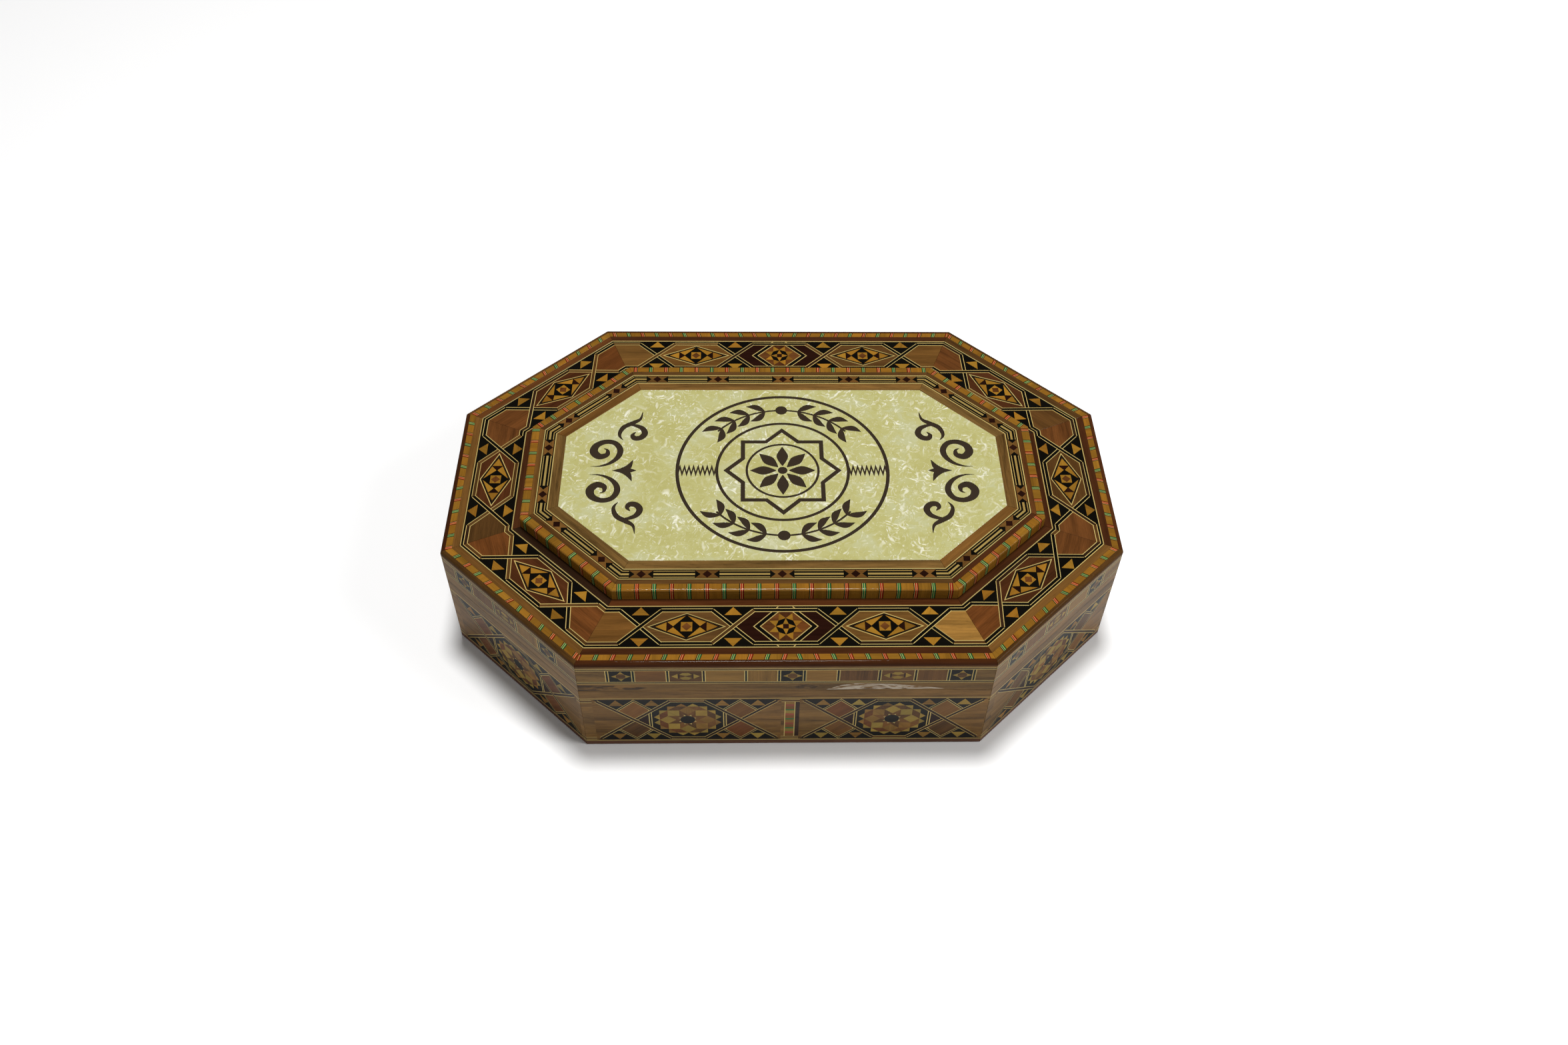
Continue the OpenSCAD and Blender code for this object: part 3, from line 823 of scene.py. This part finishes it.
def band(i, strip):
    """Straps that cross between hexagons, with black fields and yellow triangles at each crossing."""
    d = Design("black")
    woods = BAND_WOODS.get(SIDES[i], ("sienna", "mahogany", "sienna"))
    y, rise, strap_w, line = BAND_MID, BAND_HALF - 1.85, 1.95, 0.33
    run = 8.8  # along the wall, from a crossing to where its straps turn
    crossings = (-61, -22.1, 22.1, 61) if SIDES[i] in LONG else (-19.2, 19.2)
    outer, inner = strip.ends(BAND_IN), strip.ends(INNER_LINE_IN)
    for side, end in ((-1, 0), (1, -1)):
        x = crossings[end]
        bend, far = x + side * run, side * (max(abs(outer[end]), abs(inner[end])) + 5)
        d.tile([(x, y), (bend, y - rise), (far, y - rise), (far, y + rise), (bend, y + rise)], woods[end],
               rng.choice([0.0, 0.0, 0.5]) * side)
    for a, b, wood in zip(crossings, crossings[1:], woods[1:-1]):
        d.tile([(a, y), (a + run, y - rise), (b - run, y - rise), (b, y), (b - run, y + rise),
                (a + run, y + rise)], wood)
        motif = centre_star if wood == "rosewood" else lozenge
        motif(d, (a + b) / 2, y)
    for x in crossings:
        for up in (-1, 1):
            field = [(0, 0), (run + 1.3, BAND_HALF), (-run - 1.3, BAND_HALF)]
            d.tile(mirrored(field, x, y, up, up), "black")
            d.tile(mirrored([(-3.7, 6.0), (3.7, 6.0), (0, 10.2)], x, y, 1, up),
                   rng.choice(["yellow", "yellow", "orange"]), rng.choice([0, 1.2]))
    cores = ["black", "black", "black", "walnut_dark", "brown"]
    stops = [-BEYOND] + list(crossings) + [BEYOND]
    for a, b in zip(stops, stops[1:]):
        a1 = a if a == -BEYOND else a + run
        b1 = b if b == BEYOND else b - run
        for v in (y - rise, y + rise):
            d.strap([(a1 - 0.2, v), (b1 + 0.2, v)], strap_w, [rng.choice(cores)], line)
    for slope in (-1, 1):
        for x in crossings:
            ends = [(x - run, y - slope * rise), (x + run, y + slope * rise)]
            d.strap(ends, strap_w, [rng.choice(cores)], line)
    return d


def slanted(d, x, wide, v0, v1, lean, wood, angle):
    d.tile([(x, v0), (x + wide, v0), (x + wide + lean, v1), (x + lean, v1)], wood, angle)


def stripe_group(d, x, v0, v1, lean, hue):
    """Thin stripes side by side from x on, leaning by lean: dark, light and coloured ones."""
    for wide, wood in ((0.36, "black"), (0.2, "cream"), (0.62, hue),
                       (0.2, "cream"), (0.42, hue), (0.24, "black")):
        slanted(d, x, wide, v0, v1, lean, wood, math.pi / 2)
        x += wide


def striped(v0, v1, pitch, slope, shift):
    """Orange rod with groups of stripes, red and green by turns, that lean away from the middle."""
    def designer(i, strip):
        d = Design("orange")
        count = int(HALF_RUN / pitch) + 1
        places = [(k, (k + 0.5) * pitch + shift, (v0 - v1) * slope * (-1 if k < 0 else 1))
                  for k in range(-count, count)]
        for _, x, lean in places:
            slanted(d, x, pitch, v0, v1, lean, "orange", rng.choice([0.0, math.pi / 2]))
        for k, x, lean in places:
            stripe_group(d, x, v0, v1, lean, "red" if k % 2 else "green")
        return d
    return designer


def narrow(i, strip):
    """Light lines on black, broken by small panels with a dark diamond."""
    d = Design("black")
    y, tall = NARROW_IN + NARROW_W / 2, 2.15
    for v, half in ((-1.65, 0.22), (0, 0.5), (1.65, 0.22)):
        d.rect(-BEYOND, y + v - half, BEYOND, y + v + half, "dull_cream")
    for x in (-61.3, -33.2, -1.2, 30.2, 59.5) if SIDES[i] in LONG else (-14.5, 14.5):
        d.rect(x - 5.2, y - tall, x + 5.2, y + tall, "tan")
        for side in (-1, 1):
            d.tile([(x + side * 5.2, y - tall), (x + side * 2.8, y), (x + side * 5.2, y + tall)], "black")
        d.tile([(x - 2.05, y), (x, y - 2.0), (x + 2.05, y), (x, y + 2.0)], "rosewood")
    return d


def plain(*woods):
    """One wood for each side, by turns from the front."""
    def designer(i, strip):
        return Design(woods[i % len(woods)])
    return designer


def light_line(d0):
    """Light line with a dark glue line along its outer edge."""
    d = Design("cream")
    d.rect(-BEYOND, d0 - 1, BEYOND, d0 + 0.16, "walnut_dark")
    return d


def flat(d0, d1, z):
    return [(d0, d0, z), (d1, d1, z)]


def rounded(d0, d1, z0, z1, r, steps=5):
    """Profile up the outside, around the arris and in over the top."""
    points = [(0, d0, z0)]
    v = 0.0
    for k in range(steps + 1):
        a = math.pi / 2 * k / steps
        p = (d0 + r - r * math.cos(a), z1 - r + r * math.sin(a))
        v += math.dist(p, points[-1][1:])
        points.append((v, *p))
    v += d1 - points[-1][1]
    points.append((v, d1, z1))
    return points


# ---- Walls ----
wall_profile = [(FOOT_H, 0, FOOT_H), (BASE_H, 0, BASE_H)]
rim_profile = [(BASE_H, 0, BASE_H), (RIM_TOP, 0, RIM_TOP)]
foot_profile = [(0, 0.25, 0), (0.3, 0, 0.3), (FOOT_H, 0, FOOT_H)]
for i, side in enumerate(SIDES):
    ring(f"marquetry_base_{side}", "base", [f"base_marquetry_{side}"], wall_profile, SHEET_T,
         base_wall, sides=[i], arris=0.12)
ring("marquetry_lid_rim", "lid", ["lid_rim_marquetry"], rim_profile, SHEET_T,
     rim_wall, arris=0.1)
ring("foot_mouldings", "base", ["foot_strips"], foot_profile, SHEET_T - 0.3, plain("foot"))

# ---- Deck ----
edge_profile = rounded(0, EDGE_W, RIM_TOP, DECK_Z, EDGE_R)
ring("edge_mouldings", "lid", ["edge_strips"], edge_profile, EDGE_T,
     plain("mahogany", "brown", "mahogany", "brown"), smooth=35, wood=worn_edge)
ring("striped_edging", "lid", ["striped_border"], flat(BORDER_IN, PLAIN_IN, DECK_Z), INLAY_T,
     striped(BORDER_IN, PLAIN_IN, 7.05, 0.3, 1.2))
ring("deck_plain_edging", "lid", ["deck_plain_strips"], flat(PLAIN_IN, OUTER_LINE_IN, DECK_Z),
     INLAY_T, plain("mahogany", "tan", "mahogany", "brown", "mahogany", "sienna", "tan", "tan"))
stringing("deck_stringing", ["deck_light_lines"], DECK_Z,
          (OUTER_LINE_IN, BAND_IN), (INNER_LINE_IN, DARK_IN))
for i, side in enumerate(SIDES):
    ring(f"band_{side}", "lid", [f"wide_band_{side}"], flat(BAND_IN, INNER_LINE_IN, DECK_Z),
         INLAY_T, band, sides=[i])
# The strips are mahogany; walnut_dark on the front-left side, and by the same turn on the back-right, is
# painted shade at the raised panel's foot.
ring("dark_edging", "lid", ["dark_strips"], flat(DARK_IN, MOULDING_IN, DECK_Z), INLAY_T,
     plain("mahogany", "mahogany", "mahogany", "walnut_dark"))

# ---- Raised panel ----
moulding_profile = rounded(MOULDING_IN, INNER_PLAIN_IN, DECK_Z - INLAY_T, TOP_Z, MOULDING_R)
ring("striped_panel_moulding", "lid", ["striped_moulding"], moulding_profile, MOULDING_T,
     striped(0, moulding_profile[-1][0], 7.4, 0.0, -1.07), smooth=35)
ring("panel_plain_edging", "lid", ["plateau_plain_strips"],
     flat(INNER_PLAIN_IN, NARROW_LINE_IN, TOP_Z), INLAY_T,
     plain("brown", "mahogany", "sienna", "brown", "brown", "brown", "tan", "brown"))
stringing("panel_stringing", ["plateau_light_lines"], TOP_Z,
          (NARROW_LINE_IN, NARROW_IN), (FRAME_LINE_IN, FRAME_IN))
ring("narrow_marquetry", "lid", ["narrow_band"], flat(NARROW_IN, FRAME_LINE_IN, TOP_Z), INLAY_T,
     narrow)
ring("walnut_border", "lid", ["walnut_frame"], flat(FRAME_IN, PANEL_IN, TOP_Z), INLAY_T,
     plain("walnut", "tan", "walnut", "walnut"))


# ---- Engraved pearl panel ----
# Brush strokes are (x, y, width) points
TAIL = [(65.4, 37.8, 0.2), (66.3, 33.2, 1.3), (69.6, 30.6, 2.2), (73.6, 27.9, 2.2), (75.3, 24.4, 1.7),
        (75.2, 21.6, 1.1), (73.6, 19.3, 0.2)]
COMMA = [(71.4, 29.2, 0.6), (68.2, 28.8, 1.7), (65.0, 26.9, 2.3), (63.8, 23.6, 2.6), (65.6, 20.9, 2.7),
         (68.3, 20.6, 2.6), (69.4, 22.6, 1.7), (68.0, 24.6, 0.3)]
SCROLL = [(87.5, 2.6, 0.15), (83.0, 2.8, 0.8), (78.4, 4.9, 1.6), (75.2, 8.8, 2.3), (74.6, 13.2, 2.5),
          (77.0, 17.2, 2.4), (81.4, 18.2, 2.5), (85.6, 15.9, 3.0), (86.6, 11.8, 3.4), (83.9, 8.8, 3.2),
          (80.6, 9.9, 2.4), (80.4, 12.7, 1.2), (82.2, 13.9, 0.2)]
OUTER_PETAL = [(77.4, 0, 0.3), (73.4, 0.4, 2.2), (70.4, 2.0, 3.0), (68.3, 6.6, 0.2)]
MIDDLE_PETAL = [(75.4, 0, 1.2), (71.0, 0, 3.4), (66.6, 0, 0.3)]
LEAF = [(0, 0, 0.5), (1.9, 2.1, 2.7), (4.2, 4.0, 3.2), (8.0, 5.0, 0.2)]
ROSE_PETAL = [(2.9, 0, 0.4), (6.8, 0, 4.4), (10.0, 0, 5.0), (14.9, 0, 0.2)]
SPRAY_R, BUD_R = 38.9, 39.0  # how far from the middle a spray's stem and its bud run
SPRAY_STEP = 11.5  # degrees from one pair of leaves to the next


def disc(d, cx, cy, r, fill, steps=96):
    d.tile(turned(regular(steps, r), cx, cy), fill)


def smooth_line(points, steps=6):
    """Catmull-Rom curve through (x, y, width) points."""
    pts = [points[0]] + list(points) + [points[-1]]
    out = []
    for a, b, c, e in zip(pts, pts[1:], pts[2:], pts[3:]):
        for k in range(steps):
            t = k / steps
            out.append(tuple(0.5 * (2 * q + (r - p) * t + (2 * p - 5 * q + 4 * r - s) * t * t
                                    + (3 * q - p - 3 * r + s) * t ** 3) for p, q, r, s in zip(a, b, c, e)))
    return out + [points[-1]]


def brush(d, points, flip_x=1, flip_y=1, cx=0.0, cy=0.0, turn=0.0):
    """A tapering engraved stroke, in triangles so that a tight bend can't cross itself."""
    line = smooth_line(points)
    sides = []
    for k, (x, y, w) in enumerate(line):
        a, b = line[max(0, k - 1)], line[min(len(line) - 1, k + 1)]
        run = Vector((b[0] - a[0], b[1] - a[1])).normalized()
        n = Vector((-run.y, run.x)) * max(w, 0.08) / 2
        sides.append([(x + n.x, y + n.y), (x - n.x, y - n.y)])
    for (la, ra), (lb, rb) in zip(sides, sides[1:]):
        ra, rb, lb, la = turned([(x * flip_x, y * flip_y) for x, y in (ra, rb, lb, la)], cx, cy, turn)
        d.tile([ra, rb, lb], INK)
        d.tile([ra, lb, la], INK)


def leaf_spray(d, middle):
    """A stem around the rings' middle with a bud at the angle middle and pairs of leaves on both sides."""
    disc(d, *polar(BUD_R, math.radians(middle)), 2.8, INK, 24)
    for away in (1, -1):
        for k in range(1, 5):
            a = math.radians(middle + away * k * SPRAY_STEP)
            for flip in (1, -1):
                brush(d, LEAF, 1, flip * away, *polar(SPRAY_R, a), a + away * math.pi / 2)
    brush(d, [(*polar(SPRAY_R, math.radians(middle + q)), 1.0) for q in range(-50, 51, 5)])


def engraving():
    d = Design(PEARL)
    for r, fill in ((48.8, INK), (47.2, PEARL), (30.7, INK), (29.3, PEARL)):
        disc(d, 0, 0, r, fill)
    for side in (-1, 1):
        teeth = [(side * (30.2 + 17.6 * k / 17), 2.3 * (-1) ** k) for k in range(18)]
        d.path(teeth, 0.95, INK)
    for sx in (-1, 1):
        for sy in (-1, 1):
            for stroke in (TAIL, COMMA, SCROLL):
                brush(d, [(x, y, w * 1.15) for x, y, w in stroke], sx, sy)
            brush(d, OUTER_PETAL, sx, sy)
        brush(d, MIDDLE_PETAL, sx)
    for middle in (90, -90):
        leaf_spray(d, middle)
    for r, fill in ((27.0, INK), (24.2, PEARL)):
        for turn in (0, math.pi / 4):
            d.tile(regular(4, r, turn), fill)
    disc(d, 0, 0, 16.9, INK, 64)
    disc(d, 0, 0, 15.8, PEARL, 64)
    for k in range(8):
        brush(d, ROSE_PETAL, turn=k * math.pi / 4)
    disc(d, 0, 0, 2.2, INK, 24)
    return d


bm = bmesh.new()
lay(bm, Plate(PANEL_IN, TOP_Z), engraving(), INLAY_T, sunk=0.3)
finish_piece("pearl_sheet", bm, "lid", ["pearl_panel"], [inlay, pearl, ink])


# ---- Linings and felt ----
ROLL_R, CROWN = 0.5, 0.5  # radius of the velvet's rolled edges, and how high the pads rise


def octagon_row(bm, d, z):
    return [bm.verts.new(Vector((p.x, p.y, z)) * MM) for p in octagon(d)]


def skin(bm, rows):
    """A solid through rows of points, each row going all the way round, with a flat end at each side."""
    n = len(rows[0])
    for a, b in zip(rows, rows[1:]):
        for k in range(n):
            bm.faces.new([a[k], a[(k + 1) % n], b[(k + 1) % n], b[k]])
    bm.faces.new(rows[0][::-1])
    bm.faces.new(rows[-1])


def cushion(name, body, replaced, rear, face):
    """Octagonal velvet pad from the level rear to face, with a rolled edge and a crown in the middle."""
    bm = bmesh.new()
    up = 1 if face > rear else -1
    levels = [(0.15, rear), (0.0, rear + up * 0.15), (0.0, face - up * ROLL_R)]
    for a in (0.5, 1.0, 1.57):
        levels.append((ROLL_R - ROLL_R * math.cos(a), face - up * ROLL_R * (1 - math.sin(a))))
    levels += [(w, face + up * CROWN * min(1, math.sqrt(w / 60))) for w in (3, 8, 20, 40, 60, 78)]
    skin(bm, [octagon_row(bm, WALL_IN + w, z) for w, z in levels])
    return finish_piece(name, bm, body, replaced, [velvet], smooth=50)


def wall_velvet(name, body, replaced, z0, z1):
    """Velvet-covered card on each wall, rolled over at its edges."""
    bm = bmesh.new()
    d0, r, gap = WALL_IN, ROLL_R, 0.08
    middle = d0 + LINING_T - r
    quarter = (0, 0.52, 1.05, 1.57)
    section = [(d0, z0), (d0, z1)]
    section += [(middle + r * math.sin(a), z1 - r + r * math.cos(a)) for a in quarter]
    section += [(middle + r * math.cos(a), z0 + r - r * math.sin(a)) for a in quarter]
    for i in range(8):
        strip = Strip(i, [(0, 0, 0), (1, 0, 1)])
        rows = []
        for end, shift in ((0, gap), (1, -gap)):
            rows.append([bm.verts.new(strip.point(strip.ends(d)[end] + shift, d, z)) for d, z in section])
        skin(bm, rows)
    return finish_piece(name, bm, body, replaced, [velvet], smooth=50)


floor_pad = cushion("velvet_floor", "base", ["base_floor_lining"], FELT_T + BOTTOM_T, FLOOR_Z)
ceiling_pad = cushion("velvet_ceiling", "lid", ["lid_ceiling_lining"], CEILING_Z + LINING_T, CEILING_Z)
base_velvet = wall_velvet("velvet_base_walls", "base", ["base_wall_lining"], FLOOR_Z, BASE_H - LINING_DROP)
lid_velvet = wall_velvet("velvet_lid_walls", "lid", ["lid_wall_lining"], BASE_H + LINING_DROP, CEILING_Z)

bm = bmesh.new()
skin(bm, [octagon_row(bm, WALL_IN, z) for z in (0, FELT_T)])
felt_sheet = finish_piece("felt_sheet", bm, "base", ["felt_pad"], [felt])


# ---- CAD pieces that stay as they are ----
def finish_node(name, material):
    o = nodes[name]
    o.data.materials.clear()
    o.data.materials.append(material)


for name in nodes:
    if "hinge" in name:
        finish_node(name, brass)
    elif "_wall_" in name and "lining" not in name:
        finish_node(name, board)
    elif name in ("bottom_board", "deck_board", "plateau_board"):
        finish_node(name, plywood)

# ---- Floor, light and camera ----
paper, tree, bsdf = new_material("pale_floor")
feed(tree, bsdf, {"Base Color": (0.93, 0.93, 0.93, 1), "Roughness": 0.9})
mesh = bpy.data.meshes.new("floor")
reach = 4.0
corners = [(x * reach, y * reach, 0) for x, y in ((-1, -1), (1, -1), (1, 1), (-1, 1))]
mesh.from_pydata(corners, [], [(0, 1, 2, 3)])
mesh.materials.append(paper)
new_object("floor", mesh)


def area_light(name, place, size, power):
    """Round light, in metres and watts, aimed at the middle of the box."""
    light = bpy.data.lights.new(name, "AREA")
    light.shape, light.size, light.energy = "DISK", size, power
    o = new_object(name, light)
    o.location = place
    o.rotation_euler = (Vector((0, 0, 0.03)) - Vector(place)).to_track_quat("-Z", "Y").to_euler()


area_light("overhead", (0.0, 0.28, 2.2), 0.5, 45)
area_light("front", (-0.2, -2.0, 1.2), 2.4, 9)
area_light("key", (1.3, -0.4, 1.1), 0.8, 12)
scene = bpy.context.scene
world = bpy.data.worlds.new("studio")
scene.world = world
world.use_nodes = True
feed(world.node_tree, world.node_tree.nodes["Background"], {"Color": (1.0, 0.98, 0.95, 1), "Strength": 0.09})
scene.view_settings.view_transform = "Standard"

camera = bpy.data.cameras.new("camera")
camera.lens, camera.sensor_width = 31.29, 36
camera.clip_start, camera.clip_end = 0.01, 20
eye = new_object("camera", camera)
eye.location = (-0.0157, -0.4252, 0.5199)
eye.rotation_euler = [math.radians(a) for a in (41.0, -1.07, -1.06)]
scene.camera = eye
